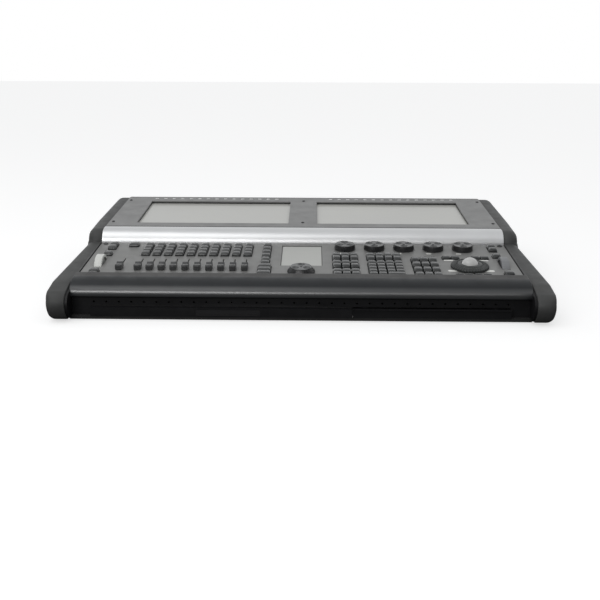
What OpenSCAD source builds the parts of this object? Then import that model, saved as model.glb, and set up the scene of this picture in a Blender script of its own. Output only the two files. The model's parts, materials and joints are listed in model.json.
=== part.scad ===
// Lighting control desk for stage and theatre.
// A sloping control panel of faders, keys, encoders and wheels lies between two moulded end
// cheeks, with a padded armrest in front and a tilting unit with two screens behind.
// Millimetres. X runs along the desk, Y towards its back, Z up; the origin is on the table
// under the middle of the desk.

/* [Case] */
// Width over both end cheeks
desk_w = 1010; // [1004:1:1014]
// Depth from the front of the cheeks to the back
desk_d = 700; // [690:1:730]
// Thickness of one end cheek
cheek_t = 42; // [38:1:44]
// Height of the control panel where it leaves the armrest
panel_z = 75; // [74:0.5:80]
// Reach of the cheeks in front of that line
armrest_d = 123; // [120:1:128]
// Upward slope of the control panel, degrees
panel_tilt = 5.2; // [4.8:0.1:5.6]
// Height of the rubber feet
foot_h = 8; // [6:0.5:9]

/* [Screen unit] */
// Height of the hinge axis above the front line of the panel
hinge_rise = 15.5; // [15:0.1:16.5]
// Distance of the hinge axis behind that line
hinge_back = 233; // [232:0.5:236]
// Radius of the quarter-round trim about the hinge axis
step_r = 31.5; // [30:0.1:32]
// Depth of the bezel along its slope
bezel_l = 302; // [298:1:304]
// Upward slope of the bezel, degrees
bezel_tilt = 3.9; // [3.5:0.1:4]
// Width of one screen opening
screen_w = 362; // [350:1:370]
// Depth of one screen opening
screen_l = 215; // [205:1:218]

/* [Faders] */
// Number of playback faders
fader_n = 10; // [10:10]
// Spacing of the playback faders
fader_pitch = 25.1; // [24.8:0.1:25.4]
// Travel of a fader
fader_travel = 60; // [50:1:60]

/* [Keys] */
// Side of a square key
key_side = 17.8; // [15:0.1:18]
// Height of a key above the panel
key_h = 7.5; // [6:0.1:9]
// Spacing of keys in a block
key_pitch = 19; // [18.6:0.1:19.4]

/* [Wheels and dials] */
// Number of encoders
encoder_n = 5; // [5:5]
// Spacing of the encoders
encoder_pitch = 66.2; // [64:0.1:67]
// Radius of an encoder knob
encoder_r = 23.5; // [20:0.1:24]
// Radius of a thumb wheel
wheel_r = 36; // [34:0.5:37]
// Width of a thumb wheel
wheel_w = 16; // [14:0.5:17]
// Radius of the trackball
ball_r = 19; // [18:0.1:19.1]
// Radius of the jog ring
jog_r = 40.5; // [38:0.1:42]

/* [Hidden] */
$fn = 48;

black = [0.06, 0.06, 0.065];
charcoal = [0.17, 0.175, 0.18];
panel_grey = [0.42, 0.42, 0.41];
cheek_grey = [0.25, 0.25, 0.25];
steel = [0.6, 0.6, 0.6];
silver = [0.82, 0.83, 0.84];
board_green = [0.1, 0.3, 0.16];

// Places shared by several pieces
gap = 0.5;                                // joint line between cases
sheet = 2;                                // sheet metal
inner_w = desk_w - 2 * cheek_t;           // between the cheeks
inner_x = inner_w / 2;
line_y = armrest_d - desk_d / 2;          // front line of the control panel
back_y = desk_d / 2;
pan_z = foot_h;                           // underside of the pan
floor_z = pan_z + sheet;                  // its inner face
hinge_y = line_y + hinge_back;
hinge_z = panel_z + hinge_rise;
deck_z = panel_z + 1.5;                   // top of the rear deck
unit_z = deck_z + 3.5;                    // underside of the screen unit
panel_t = 3;
panel_front = -26;                        // ends of the panel along its slope
panel_back = (hinge_back - step_r - 1.2) / cos(panel_tilt);

// Playback section
first_fader_x = -345.3;
grand_x = -384.5;
fader_xs = [for (i = [0 : fader_n - 1]) first_fader_x + i * fader_pitch];
fader_rest = 24;                          // middle of a cap at the bottom of its travel
stem_l = 5;
stem_t = 1.4;
playback_row = 116;
playback_step = 19.5;
playback_ss = [for (j = [0 : 3]) playback_row + j * playback_step];
single_key = [-382, 177];

// Master column: small keys, then three wide keys
master_x = -78;
master_ss = [57, 78, 105, 128.5, 152, 175];
wide_key_w = 28;
wide_ss = [-8, 14, 35];

// Menu display and its dial
display_w = 90;
display_l = 137;
display_s = 118;
dial_s = 5;
dial_base_r = 29;
dial_top_r = 22.5;
dial_h = 13;

// Command blocks A and C and the number block B
block_a_xs = [for (i = [-1 : 1]) 95 + i * key_pitch];
block_a_ss = [-11.5, 7, 40.5, 60, 91.5, 111];
block_b_x = 151;
block_b_xs = [for (i = [0 : 3]) block_b_x + i * key_pitch];
number_ss = [6, 24, 42, 60, 91.5, 111];
last_row_s = -12;
number_key_l = 16.4;
block_c_xs = [for (i = [-1 : 1]) 265 + i * key_pitch];
block_c_ss = [-12, 20, 52.5, 85];
block_c_l = 20;
block_margin = 2;

// Encoders, trackball and wheels
encoder_x = 96.5;
encoder_s = 164;
encoder_xs = [for (i = [0 : encoder_n - 1]) encoder_x + i * encoder_pitch];
knob_z = 1;                               // running gap under a knob
knob_h = 12;
shaft_r = 3;
running = 0.05;                           // radial clearance of a running fit
ball_x = 358;
ball_s = 44;
ball_rise = 3;                            // ball centre above the panel
collar_r = 28;
wheel_x = 434;
wheel_s = 65;
wheel_drop = wheel_r - 16;                // wheel centre below the panel
side_key_x = 428;
side_ss = [113, 157, 178];
pointer_top_xs = [316, 336, 380, 400];
pointer_top_s = 104;
pointer_low_xs = [for (i = [0 : 3]) 329 + i * 19.3];
pointer_low_s = -9;

// Front bay and keyboard drawer
bay_x = 421;
drawer_x0 = 105;
drawer_w = bay_x - drawer_x0;
drawer_mid = drawer_x0 + drawer_w / 2;
fascia_y = line_y - 94;
vent_y = line_y - 80;
shelf_z = 26;
drawer_d = 168;
vent_n = 34;
vent_pitch = 25.2;

// Hinge of the screen unit
pin_r = 5;
hinge_x = 440;
plate_t = 8;

// ---- helpers -------------------------------------------------------------------------------

// Extrudes an outline drawn in (y, z) along X, from x0
module along_x(x0, w) translate([x0, 0, 0]) rotate([90, 0, 90]) linear_extrude(w) children();

// Extrudes an outline drawn in (x, z) along Y, from y0
module along_y(y0, l) translate([0, y0 + l, 0]) rotate([90, 0, 0]) linear_extrude(l) children();

// Places children on the control panel, s behind its front line
module on_panel(x = 0, s = 0, z = 0)
    translate([0, line_y, panel_z]) rotate([panel_tilt, 0, 0]) translate([x, s, z]) children();

// Places children on the bezel, t behind its front edge
module on_bezel(x = 0, t = 0, z = 0)
    translate([0, hinge_y, hinge_z + step_r]) rotate([bezel_tilt, 0, 0]) translate([x, t, z])
        children();

module mirrored() {
    children();
    mirror([1, 0, 0]) children();
}

// Points of an arc about c, from angle a0 to a1
function arc(c, rx, ry, a0, a1, n) =
    [for (i = [0 : n]) let (a = a0 + (a1 - a0) * i / n) [c[0] + rx * cos(a), c[1] + ry * sin(a)]];

// Height of the panel and of the bezel face at a distance behind the front line
function panel_at(d) = panel_z + d * tan(panel_tilt);
function bezel_at(d) = hinge_z + step_r + (d - hinge_back) * tan(bezel_tilt);

// Centred rectangle in 2D
module rect(x, s, w, l) translate([x - w / 2, s - l / 2]) square([w, l]);

// Centred slot with round ends, w wide and l long
module slot(x, s, w, l) {
    rect(x, s, w, l - w);
    for (e = [-1, 1]) translate([x, s + e * (l - w) / 2]) circle(w / 2);
}

// ---- end cheeks ----------------------------------------------------------------------------

cheek_tilt = 3.4;                         // slope of the upper cheeks
corner_r = 30;                            // outer corners in plan
nose_r = 27;
drum_r = step_r - 0.5;
outer_x = desk_w / 2;                     // at the nose; the cheeks draw in towards the back
rear_x = outer_x - 5;
drum_x = outer_x - 8;
rim = 2;                                  // rise of the lower cheeks above the panel

// Height of the top of an upper cheek at a distance behind the front line
function cheek_at(d) = hinge_z + step_r + (d - hinge_back) * tan(cheek_tilt);

// Side outline of the lower cheek: round nose, panel slope, flat ledge under the screen unit
module cheek_outline() {
    nose = [line_y - armrest_d + nose_r, panel_z - 39];
    difference() {
        polygon(concat(
                arc(nose, nose_r, nose_r, 270, 96, 20),
                [[line_y - 60, panel_at(-60) + rim],
                 [hinge_y - step_r, panel_at(hinge_back - step_r) + rim],
                 [hinge_y, panel_at(hinge_back - step_r) + rim],
                 [hinge_y, unit_z - 1], [back_y, unit_z - 1], [back_y, pan_z + 1],
                 [line_y - 89, pan_z + 1]]));
        translate([hinge_y, hinge_z]) circle(step_r + 0.9, $fn = 96);
        translate([hinge_y, unit_z - 1]) square([step_r + 2, 60]);
    }
}

// Prism that rounds the outer top edge of a right-hand cheek along a slope through (y0, z0)
module edge_prism(y0, z0, tilt, x, r, reach = 400)
    translate([0, y0, z0]) rotate([tilt, 0, 0]) along_y(-reach, 3 * reach)
        polygon(concat([[inner_x - 1, -reach], [x, -reach]], arc([x - r, -r], r, r, 0, 90, 10),
            [[inner_x - 1, 0]]));

// Plan outline of a right-hand cheek with round outer corners at x0 in front and x1 behind
module cheek_plan(y0, y1, front_r, x0, x1)
    polygon(concat([[inner_x, y1], [inner_x, y0]],
        arc([x0 - front_r, y0 + front_r], front_r, front_r, 270, 360, 10),
        arc([x1 - corner_r, y1 - corner_r], corner_r, corner_r, 0, 90, 10)));

module cheek() intersection() {
    along_x(inner_x, cheek_t) cheek_outline();
    edge_prism(line_y, panel_z + 0.5 + rim, panel_tilt, outer_x, 8);
    linear_extrude(desk_d) cheek_plan(-desk_d / 2, back_y, corner_r, outer_x, rear_x);
}

module right_cheek() color(cheek_grey) cheek();
module left_cheek() color(cheek_grey) mirror([1, 0, 0]) cheek();

// Side outline of the upper cheek: a drum about the hinge and a body that runs to the back
module screen_cheek_outline() {
    translate([hinge_y, hinge_z]) circle(drum_r, $fn = 96);
    polygon(concat(
        [[hinge_y, unit_z], [back_y, unit_z]],
        arc([back_y - 42, cheek_at(bezel_l + hinge_back) - 22], 42, 22, 0, 88, 10),
        [[hinge_y, cheek_at(hinge_back) - 0.5]]));
}

module screen_cheek() intersection() {
    along_x(inner_x + gap, cheek_t - gap) screen_cheek_outline();
    edge_prism(hinge_y, hinge_z + step_r, cheek_tilt, rear_x, 20);
    linear_extrude(desk_d) cheek_plan(hinge_y - drum_r, back_y, 17, drum_x, rear_x);
}

module right_screen_cheek() color(cheek_grey) screen_cheek();
module left_screen_cheek() color(cheek_grey) mirror([1, 0, 0]) screen_cheek();

// ---- fixed case ----------------------------------------------------------------------------

// Folded pan: a floor with two upright flanges against the cheeks
module base_pan() color(black) along_y(vent_y, back_y - vent_y - 4)
    difference() {
        translate([-inner_x + 0.3, pan_z]) square([inner_w - 0.6, 38]);
        translate([-inner_x + 0.3 + sheet, floor_z]) square([inner_w - 0.6 - 2 * sheet, 38]);
    }

// Moulded armrest: a low ridge, a flat lip and a long elliptical roll to the nose
module armrest() color(charcoal) along_x(-inner_x + gap, inner_w - 2 * gap) {
    lip = [line_y - 48, panel_z + 5];
    roll_w = 44;
    roll_h = 28;
    polygon(concat(
        [[line_y + panel_front - 0.6, panel_z - 18], [line_y + panel_front - 0.6, panel_z + 5.5]],
        arc([line_y - 29.5, panel_z + 5], 2.6, 2.6, 30, 100, 4),
        arc([lip[0], lip[1] - roll_h], roll_w, roll_h, 90, 184, 18),
        arc([lip[0] - roll_w + 5, panel_z - 24.6], 5, 4, 190, 270, 5),
        [[line_y - 50, panel_z - 20], [line_y - 40, panel_z - 18]]));
}

module key_opening(xs, ss, l = key_side)
    rect((xs[0] + xs[len(xs) - 1]) / 2, (ss[0] + ss[len(ss) - 1]) / 2,
        xs[len(xs) - 1] - xs[0] + key_side + block_margin,
        ss[len(ss) - 1] - ss[0] + l + block_margin);

// All openings of the control panel
module panel_openings() {
    for (x = fader_xs) {
        slot(x, fader_rest + fader_travel / 2, 2.6, fader_travel + stem_l + 6);
        key_opening([x], playback_ss);
    }
    slot(grand_x, fader_rest + fader_travel / 2, 2.6, fader_travel + stem_l + 6);
    rect(single_key[0], single_key[1], key_side + 4 + block_margin, key_side + block_margin);
    key_opening([master_x], [for (i = [0, 1]) master_ss[i]]);
    key_opening([master_x], [for (i = [2 : 5]) master_ss[i]]);
    rect(master_x, wide_ss[1], wide_key_w + block_margin,
        wide_ss[2] - wide_ss[0] + key_side + block_margin);
    rect(0, display_s, display_w, display_l);
    translate([0, dial_s]) circle(4.5);
    for (i = [0, 2, 4]) key_opening(block_a_xs, [block_a_ss[i], block_a_ss[i + 1]]);
    key_opening(block_b_xs, [for (i = [4, 5]) number_ss[i]]);
    key_opening(block_b_xs, [last_row_s, number_ss[3]], number_key_l);
    key_opening(block_c_xs, [block_c_ss[0], block_c_ss[3]], block_c_l);
    for (x = encoder_xs) translate([x, encoder_s]) circle(4.5);
    translate([ball_x, ball_s]) circle(collar_r + 3);
    for (i = [0, 2]) key_opening([pointer_top_xs[i], pointer_top_xs[i + 1]], [pointer_top_s]);
    key_opening(pointer_low_xs, [pointer_low_s], 10);
    for (side = [-1, 1]) {
        rect(side * wheel_x, wheel_s, wheel_w + 1.8, 64);
        key_opening([side * side_key_x], [side_ss[0]]);
        key_opening([side * side_key_x], [side_ss[1], side_ss[2]]);
        rect(side * (wheel_x - 1), 0, 20 + block_margin, key_side + block_margin);
        translate([side * 451, 192]) circle(5.2);
    }
}

module control_panel() color(panel_grey) on_panel(0, 0, -panel_t) linear_extrude(panel_t)
    difference() {
        translate([-inner_x + gap, panel_front])
            square([inner_w - 2 * gap, panel_back - panel_front]);
        panel_openings();
    }

// Vent wall under the armrest with the drive bay's fascia in front of it
module front_panel() color(black) {
    difference() {
        along_x(-inner_x + 0.8, inner_w - 1.6)
            translate([vent_y - sheet, pan_z]) square([sheet, panel_z - 27.6 - pan_z]);
        for (i = [0 : vent_n - 1]) translate([(i - (vent_n - 1) / 2) * vent_pitch, vent_y, 35])
            rotate([90, 0, 0]) cylinder(d = 4, h = 3 * sheet, center = true, $fn = 24);
        translate([drawer_x0 - 1, vent_y - 3 * sheet, pan_z - 1])
            cube([drawer_w + 2, 5 * sheet, shelf_z - pan_z + 2]);
    }
    difference() {
        translate([-bay_x, fascia_y, pan_z])
            cube([bay_x + drawer_x0 - 1, vent_y - fascia_y - sheet, shelf_z - pan_z]);
        translate([-bay_x + sheet, fascia_y + sheet, pan_z - 1])
            cube([bay_x + drawer_x0 - 1 - 2 * sheet, 40, shelf_z - pan_z - sheet + 1]);
        translate([drive_x - drive_w / 2 - 0.5, fascia_y - 1, drive_z - 0.5])
            cube([drive_w + 1, 20, drive_h + 1]);
    }
}

// Slim disc drive with its tray front, eject key and lamp
drive_x = -145;
drive_w = 128;
drive_h = 12.7;
drive_z = 9.2 + 1;
module optical_drive() {
    color(charcoal) translate([drive_x - drive_w / 2, fascia_y - 0.6, drive_z])
        difference() {
            cube([drive_w, 3, drive_h]);
            translate([3, -1, 3.2]) cube([drive_w - 6, 1.8, 0.8]);
        }
    color(steel) translate([drive_x - drive_w / 2 + 1, fascia_y + 2.4, drive_z])
        cube([drive_w - 2, 8.5, drive_h]);
    color(silver) translate([drive_x + 2, fascia_y - 1.2, drive_z + 5.5]) cube([7, 1, 2.4]);
}

rear_z = floor_z + 0.2;
rear_h = deck_z - sheet - 0.2 - rear_z;

// Three plates with the mains and network modules between them
module rear_panel() color(black) difference() {
    translate([-inner_x + 0.8, back_y - 3.5, rear_z]) cube([inner_w - 1.6, sheet, rear_h]);
    translate([inlet_x - inlet_w / 2 - 0.2, back_y - 9, rear_z - 1])
        cube([inlet_w + 0.4, 10, rear_h + 2]);
    translate([net_xs[0] - net_w / 2 - 0.2, back_y - 9, rear_z - 1])
        cube([2 * net_w + 0.4, 10, rear_h + 2]);
    for (x = dmx_xs) translate([x, back_y - 3.5, socket_z]) rotate([90, 0, 0])
        cylinder(r = 11.9, h = 6 * sheet, center = true);
    for (x = fan_xs) for (i = [-4 : 4]) translate([x + i * 6, back_y, socket_z])
        cube([3, 20, 30 - abs(i) * 2.6], center = true);
}

// Cover plate under the screen unit, with a folded front lip
module rear_deck() color(black) {
    translate([-inner_x + 0.8, hinge_y + 16, deck_z - sheet])
        cube([inner_w - 1.6, back_y - 1.2 - hinge_y - 16, sheet]);
    translate([-inner_x + 0.8, hinge_y + 16, deck_z - sheet - 12])
        cube([inner_w - 1.6, sheet, 12]);
}

foot_xs = [-400, 400];
foot_ys = [-290, 0, 290];
foot_r = 14;
module rubber_feet() color([0.1, 0.1, 0.1]) {
    for (x = foot_xs) for (y = foot_ys) translate([x, y, 0]) {
        cylinder(r1 = foot_r - 1.5, r2 = foot_r, h = foot_h);
    }
    // broad pads under the front corners of the cheeks
    mirrored() translate([inner_x + 3, -desk_d / 2 + 40, 0]) cube([26, 52, pan_z + 1]);
}

// ---- inside the case -----------------------------------------------------------------------

module menu_display() {
    color(black) on_panel(-display_w / 2 - 3, display_s - display_l / 2 - 3, -panel_t - 8)
        cube([display_w + 6, display_l + 6, 8]);
    color([0.75, 0.75, 0.73])
        on_panel(-display_w / 2 + 0.4, display_s - display_l / 2 + 0.4, -panel_t)
            cube([display_w - 0.8, display_l - 0.8, 1]);
}

board_y = 90;
module main_board() {
    color(board_green) translate([-140, board_y, floor_z + 6]) cube([300, 230, 1.6]);
    color(steel) for (x = [-130, 150]) for (y = [board_y + 10, board_y + 220])
        translate([x, y, floor_z]) cylinder(r = 3, h = 6);
    color(steel) translate([-90, board_y + 70, floor_z + 7.6]) cooler();
    color(black) for (i = [0 : 3]) translate([20 + i * 12, board_y + 50, floor_z + 7.6])
        cube([6, 130, 26]);
}

// Finned cooler of the processor
module cooler() {
    cube([80, 80, 5]);
    for (i = [0 : 9]) translate([i * 8.5, 0, 5]) cube([2.2, 80, 22]);
}

psu_size = [150, 220, 48];
psu_wall = 1.5;
module power_supply() color(steel) translate([-380, 80, floor_z]) difference() {
    cube(psu_size);
    translate([psu_wall, psu_wall, psu_wall]) cube([for (e = psu_size) e - 2 * psu_wall]);
    for (i = [0 : 9]) translate([20 + i * 12, -1, 14]) cube([4, 4, 22]);
}

board_drop = 14;                          // key boards below the panel face
module key_board(x0, x1, s0, s1) on_panel(x0, s0, -board_drop - 1.6) cube([x1 - x0, s1 - s0, 1.6]);
module key_boards() color(board_green) {
    key_board(-395, -108, 106, 186);
    key_board(-95, -61, -18, 186);
    key_board(66, 124, -21, 121);
    key_board(141, 218, -21, 121);
    key_board(236, 294, -21, 98);
    key_board(306, 410, 96, 113);
    key_board(320, 397, -16, -1);
    for (side = [-1, 1]) {
        key_board(side * side_key_x - 11, side * side_key_x + 11, 104, 188);
        key_board(side * (wheel_x - 1) - 10, side * (wheel_x - 1) + 10, -10, 9);
    }
}

// Slide potentiometers, each a slim channel with a slot for its lever
module fader_module(x) color(steel) on_panel(x, fader_rest + fader_travel / 2, -27) difference() {
    translate([-4.5, -44, 0]) cube([9, 88, 24]);
    translate([-1.6, -fader_travel / 2 - 4, 8]) cube([3.2, fader_travel + 8, 20]);
}
module fader_modules() {
    for (x = fader_xs) fader_module(x);
    fader_module(grand_x);
}

// Encoder bodies, each with the bearing of its knob's shaft
module encoder_module(x, s) color(black) on_panel(x, s, -panel_t - 16) difference() {
    union() {
        translate([-7, -7, 0]) cube([14, 14, 10]);
        cylinder(r = 4.2, h = 16);
    }
    translate([0, 0, 3]) cylinder(r = shaft_r + running, h = 20);
}
module encoder_modules() {
    for (x = encoder_xs) encoder_module(x, encoder_s);
    encoder_module(0, dial_s);
}

socket_z = 44;
dmx_xs = [for (i = [0 : 3]) -60 + i * 34];
net_xs = [110, 140];
net_w = 30;                               // plate of one network module
inlet_x = -310;
inlet_w = 54;                             // plate of the mains module
fan_xs = [-210, -150];
socket_y = back_y - 1.5;

// Five-pin sockets with square flanges
module rear_sockets() color(charcoal)
    for (x = dmx_xs) translate([x, socket_y, socket_z]) rotate([90, 0, 0]) difference() {
        union() {
            translate([-13, -15.5, -1.5]) cube([26, 31, 1.5]);
            cylinder(r = 11.8, h = 22);
        }
        for (a = [30 : 60 : 330]) rotate(a) translate([6.5, 0, -3])
            if (a != 270) cylinder(r = 1.2, h = 12, $fn = 16);
        for (e = [-1, 1]) translate([e * 9.5, e * 12, -3]) cylinder(r = 1.6, h = 12);
    }

// Two network modules, each a plate with its socket
module network_sockets() color(steel) for (x = net_xs) difference() {
    union() {
        translate([x - net_w / 2 + 0.1, socket_y - sheet, rear_z])
            cube([net_w - 0.2, sheet, rear_h]);
        translate([x - 8, socket_y - 21, socket_z - 7]) cube([16, 22, 14]);
    }
    translate([x - 6, socket_y - 11, socket_z - 4.2]) cube([12, 14, 8.4]);
}

// Mains module: a plate with a flanged body whose recess the plug enters
module mains_inlet() color(black) translate([inlet_x, socket_y, socket_z]) difference() {
    union() {
        translate([-inlet_w / 2 + 0.1, -sheet, rear_z - socket_z])
            cube([inlet_w - 0.2, sheet, rear_h]);
        translate([-13.7, -24, -10]) cube([27.4, 24, 20]);
        translate([-25, 0, -11.2]) cube([50, 1.5, 22.4]);
    }
    translate([-12, -16, -8]) cube([24, 20, 16]);
    for (e = [-1, 1]) translate([e * 20, 0, 0]) rotate([90, 0, 0])
        cylinder(r = 1.6, h = 8, center = true);
}

// Gooseneck lamp sockets in the rear corners of the control panel
module lamp_sockets() color(black) mirrored() on_panel(451, 192, -14) difference() {
    union() {
        cylinder(r = 5, h = 14);
        translate([0, 0, 14]) cylinder(r = 5.8, h = 1.6);
    }
    translate([0, 0, 6]) cylinder(r = 1.8, h = 12);
}

// Seat of the trackball with the collar that the jog ring turns on
module trackball_cup() color(black) on_panel(ball_x, ball_s, 0) difference() {
    union() {
        translate([0, 0, -22]) cylinder(r = collar_r, h = 22.5);
        translate([0, 0, -22]) cylinder(r = collar_r + 6, h = 8);
    }
    translate([0, 0, ball_rise]) sphere(r = ball_r + 0.6);
    translate([0, 0, -2]) cylinder(r = ball_r + 0.6, h = 8);
}

module light_bars() color([0.9, 0.9, 0.87]) on_panel() linear_extrude(0.6) {
    for (x = [320, 396]) {
        slot_bar(x, 22, 22, 10);
        slot_bar(x, 90, 21, 6);
    }
    for (x = encoder_xs) slot_bar(x - 13, 134, 12, 5);
}
module slot_bar(x, s, w, l) {
    rect(x, s, w - l, l);
    for (e = [-1, 1]) translate([x + e * (w - l) / 2, s]) circle(l / 2);
}

// Stands of the hinge and of the thumb wheels
module steel_stands() color(steel) mirrored() {
    hinge_stand();
    wheel_stand();
}

// Stand with the pin that the screen unit turns on
module hinge_stand() {
    translate([hinge_x, hinge_y - 9, floor_z]) cube([plate_t, 18, hinge_z - floor_z]);
    translate([hinge_x, hinge_y, hinge_z]) rotate([0, 90, 0]) cylinder(r = 9, h = plate_t);
    translate([hinge_x - 16, hinge_y - 16, floor_z]) cube([16, 32, 4]);
    translate([hinge_x - 10, hinge_y, hinge_z]) rotate([0, 90, 0])
        cylinder(r = pin_r, h = 10 + plate_t);
}

// Fork and axle of a thumb wheel
wheel_y = line_y + wheel_s * cos(panel_tilt) + wheel_drop * sin(panel_tilt);
wheel_z = panel_z + wheel_s * sin(panel_tilt) - wheel_drop * cos(panel_tilt);
module wheel_stand() translate([wheel_x, wheel_y, 0]) {
    for (e = [-1, 1]) translate([e * (wheel_w / 2 + 2.2), 0, 0]) {
        translate([-1, -8, floor_z]) cube([2, 16, wheel_z - floor_z]);
        translate([-1, 0, wheel_z]) rotate([0, 90, 0]) cylinder(r = 8, h = 2);
    }
    translate([-wheel_w / 2 - 3.2, -8, floor_z]) cube([wheel_w + 6.4, 16, 3]);
    translate([-wheel_w / 2 - 2.2, 0, wheel_z]) rotate([0, 90, 0])
        cylinder(r = shaft_r, h = wheel_w + 4.4);
}

// ---- keyboard drawer -----------------------------------------------------------------------

rail_w = 7;
module drawer_rails() color(steel)
    for (x = [drawer_x0 - rail_w - 1.2, bay_x + 1.2])
        translate([x, vent_y + 1, floor_z]) cube([rail_w, drawer_d - 34, 12]);

tray_z = floor_z + 1;
module keyboard_drawer() color(black) {
    translate([drawer_x0, fascia_y + sheet, tray_z]) difference() {
        cube([drawer_w, drawer_d - sheet, 13]);
        translate([sheet, -1, 1.5]) cube([drawer_w - 2 * sheet, drawer_d - 2 * sheet + 1, 13]);
    }
    translate([drawer_x0, fascia_y, pan_z + 0.5]) cube([drawer_w, sheet, shelf_z - pan_z - 2]);
    translate([drawer_x0, fascia_y - 2, shelf_z - 1.5]) cube([drawer_w, sheet + 8, 1.5]);
}

keyboard_w = drawer_w - 2 * sheet - 3;
keyboard_d = 128;
keyboard_cols = 15;
keyboard_pitch = 19;
module keyboard() translate([drawer_mid - keyboard_w / 2, fascia_y + sheet + 10, tray_z + 1.5]) {
    color(charcoal) cube([keyboard_w, keyboard_d, 5]);
    color(black) for (row = [0 : 5]) for (col = [0 : keyboard_cols - 1])
        if (row > 0 || col < 3 || col > 8)
            translate([(keyboard_w - keyboard_cols * keyboard_pitch) / 2 + col * keyboard_pitch + 1,
                       7 + row * keyboard_pitch + 1, 4.9])
                cube([keyboard_pitch - 3, keyboard_pitch - 3, 3]);
    color(black) translate([(keyboard_w - keyboard_cols * keyboard_pitch) / 2
                            + 3 * keyboard_pitch + 1, 8, 4.9])
        cube([6 * keyboard_pitch - 3, keyboard_pitch - 3, 3]);
}

// ---- screen unit ---------------------------------------------------------------------------

bezel_t = 3;
trim_l = 14;                              // flat of the trim in front of the bezel
screw_xs = [-453, 0, 453];
screw_ts = [54, 268];
shell_y = hinge_y + 15;
bezel_back = hinge_back + bezel_l * cos(bezel_tilt);

module screen_bezel() color(panel_grey) on_bezel(0, 0, -bezel_t) difference() {
    linear_extrude(bezel_t) difference() {
        translate([-inner_x + gap, trim_l + 0.3])
            square([inner_w - 2 * gap, bezel_l - trim_l - 0.3]);
        for (side = [-1, 1]) rect(side * (34 + screen_w / 2), 46 + screen_l / 2, screen_w, screen_l);
        for (side = [-1, 1]) for (i = [-7 : 7])
            slot_bar(side * 229 + i * 22.6, 289, 9, 4.5);
        for (x = screw_xs) for (t = screw_ts) translate([x, t]) circle(2);
    }
}

// Tray that closes the unit below and rolls down at the back
module screen_shell() color(cheek_grey) {
    wall = 3;
    top_back = bezel_at(bezel_back) - bezel_t;
    along_x(-inner_x + gap, inner_w - 2 * gap) difference() {
        polygon(concat(
            [[shell_y, unit_z], [back_y, unit_z]],
            arc([back_y - 42, bezel_at(bezel_back) - 22], 42, 22, 0, 88, 14),
            [[line_y + bezel_back + 0.4, bezel_at(bezel_back) + 0.1],
             [line_y + bezel_back + 0.4, top_back - 0.1],
             [shell_y, bezel_at(hinge_back + 15) - bezel_t - 0.1]]));
        polygon(concat(
            [[shell_y + wall, unit_z + wall], [back_y - wall, unit_z + wall]],
            arc([back_y - 42, bezel_at(bezel_back) - 22], 42 - wall, 22 - wall, 0, 60, 8),
            [[line_y + bezel_back - 6, top_back - 3.6], [line_y + bezel_back - 6, top_back + 6],
             [shell_y + wall, bezel_at(hinge_back + 15) + 6]]));
    }
    for (side = [-1, 1]) translate([side * (hinge_x - 5), 0, 0]) difference() {
        union() {
            translate([-4.5, hinge_y, hinge_z - 10]) cube([9, 15.5, 20]);
            translate([-4.5, hinge_y, hinge_z]) rotate([0, 90, 0]) cylinder(r = 10, h = 9);
        }
        translate([-6, hinge_y, hinge_z]) rotate([0, 90, 0]) cylinder(r = pin_r + running, h = 12);
    }
}

// Screen sunk in a black frame whose walls line the opening
glass_drop = 7;
module screen(side) {
    color(black) on_bezel(side * (34 + screen_w / 2), 46 + screen_l / 2, -bezel_t - 15)
        difference() {
            translate([0, 0, 7.5]) cube([screen_w + 10, screen_l + 10, 15], center = true);
            translate([0, 0, 15 + bezel_t - glass_drop + 10])
                cube([screen_w, screen_l, 20], center = true);
        }
}
module left_screen() screen(-1);
module right_screen() screen(1);

// Quarter-round aluminium trim about the hinge axis, with a flat in front of the bezel and a
// flange under it
module step_trim() color(silver) along_x(-inner_x + gap, inner_w - 2 * gap)
    translate([hinge_y, hinge_z]) {
        difference() {
            circle(step_r, $fn = 128);
            circle(step_r - sheet, $fn = 128);
            translate([0, -2 * step_r]) square(4 * step_r);
            translate([-2 * step_r, -4 * step_r]) square(4 * step_r);
        }
        translate([0, step_r]) rotate(bezel_tilt) {
            translate([-1, -sheet]) square([trim_l + 1, sheet]);
            translate([-3, -bezel_t - sheet - 0.1]) square([17.4, sheet]);
        }
        translate([-3, step_r - bezel_t - sheet - 0.2]) square([2.7, bezel_t + 1.8]);
    }

module bezel_screws() color(black)
    for (x = screw_xs) for (t = screw_ts) on_bezel(x, t, -6) {
        cylinder(r = 1.9, h = 6);
        translate([0, 0, 6]) difference() {
            cylinder(r1 = 4, r2 = 3.2, h = 1.4, $fn = 32);
            translate([0, 0, 0.4]) cylinder(r = 1.6, h = 2, $fn = 6);
        }
    }

// ---- faders, knobs and wheels --------------------------------------------------------------

// Fader cap with a finger saddle and the lever that carries it
module fader_cap(x) on_panel(x, fader_rest, 0) {
    color(black) translate([-6.75, 0, 0]) rotate([90, 0, 90]) linear_extrude(13.5)
        polygon(concat([[-13, 1], [13, 1], [13, 8.5], [10.5, 12.5]],
            arc([0, 15], 8.5, 4.5, -34, -146, 8), [[-10.5, 12.5], [-13, 7.5]]));
    color(steel) translate([-stem_t / 2, -stem_l / 2, -14]) cube([stem_t, stem_l, 15.5]);
}
module grand_fader() fader_cap(grand_x);
module fader(i) fader_cap(fader_xs[i - 1]);

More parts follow.
